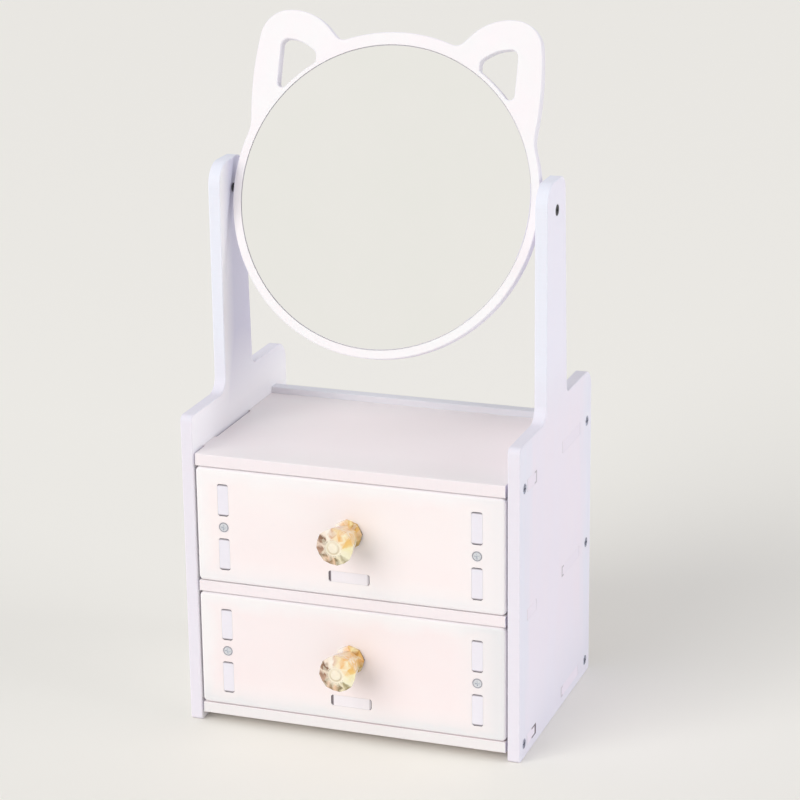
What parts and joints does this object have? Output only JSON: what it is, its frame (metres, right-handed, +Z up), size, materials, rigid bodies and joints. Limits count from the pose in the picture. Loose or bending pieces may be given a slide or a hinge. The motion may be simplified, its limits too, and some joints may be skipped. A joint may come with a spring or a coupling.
{
  "type": "vanity mirror with drawers",
  "caption": "Round tilting mirror on a cat-ear board, carried between the posts of a small board cabinet with drawers that pull out by lobed knobs and an open tray on top.",
  "frame": {"origin": "on the table, under the middle of the whole object's box", "axes": "+X to the object's right as one faces it, -Y out of the front where the drawers open, +Z up"},
  "size_m": [0.28, 0.234, 0.5603],
  "materials": {
    "white_board": "smooth white foamed board, satin faces and slightly rough cut edges",
    "mirror_glass": "silvered flat glass",
    "amber_knob": "glossy amber and cream marbled moulding",
    "steel_screw": "zinc-plated countersunk screws",
    "black_screw": "black-coated countersunk screws",
    "rubber_washer": "small black rubber spacers"
  },
  "bodies": {
    "cabinet": {"left_side_panel": "white_board", "right_side_panel": "white_board", "top_shelf": "white_board", "middle_shelf": "white_board", "bottom_board": "white_board", "back_panel": "white_board", "rear_rail": "white_board", "left_panel_screws": "steel_screw", "right_panel_screws": "steel_screw"},
    "mirror": {"mirror_board": "white_board", "mirror_glass": "mirror_glass", "pivot_screws": "black_screw", "pivot_washers": "rubber_washer"},
    "upper_drawer": {"upper_drawer_front": "white_board", "upper_drawer_left_side": "white_board", "upper_drawer_right_side": "white_board", "upper_drawer_back": "white_board", "upper_drawer_bottom": "white_board", "upper_knob_base": "amber_knob", "upper_knob": "amber_knob", "upper_knob_screw": "steel_screw", "upper_drawer_screws": "steel_screw"},
    "lower_drawer": {"lower_drawer_front": "white_board", "lower_drawer_left_side": "white_board", "lower_drawer_right_side": "white_board", "lower_drawer_back": "white_board", "lower_drawer_bottom": "white_board", "lower_knob_base": "amber_knob", "lower_knob": "amber_knob", "lower_knob_screw": "steel_screw", "lower_drawer_screws": "steel_screw"}
  },
  "joints": [
    {"name": "mirror_tilt", "type": "hinge", "parent": "cabinet", "child": "mirror", "pos_m": [0, 0.0135, 0.423], "axis": [1, 0, 0], "continuous": true},
    {"name": "upper_drawer_slide", "type": "slide", "parent": "cabinet", "child": "upper_drawer", "axis": [0, -1, 0], "range_m": [0, 0.12]},
    {"name": "lower_drawer_slide", "type": "slide", "parent": "cabinet", "child": "lower_drawer", "axis": [0, -1, 0], "range_m": [0, 0.12]}
  ]
}
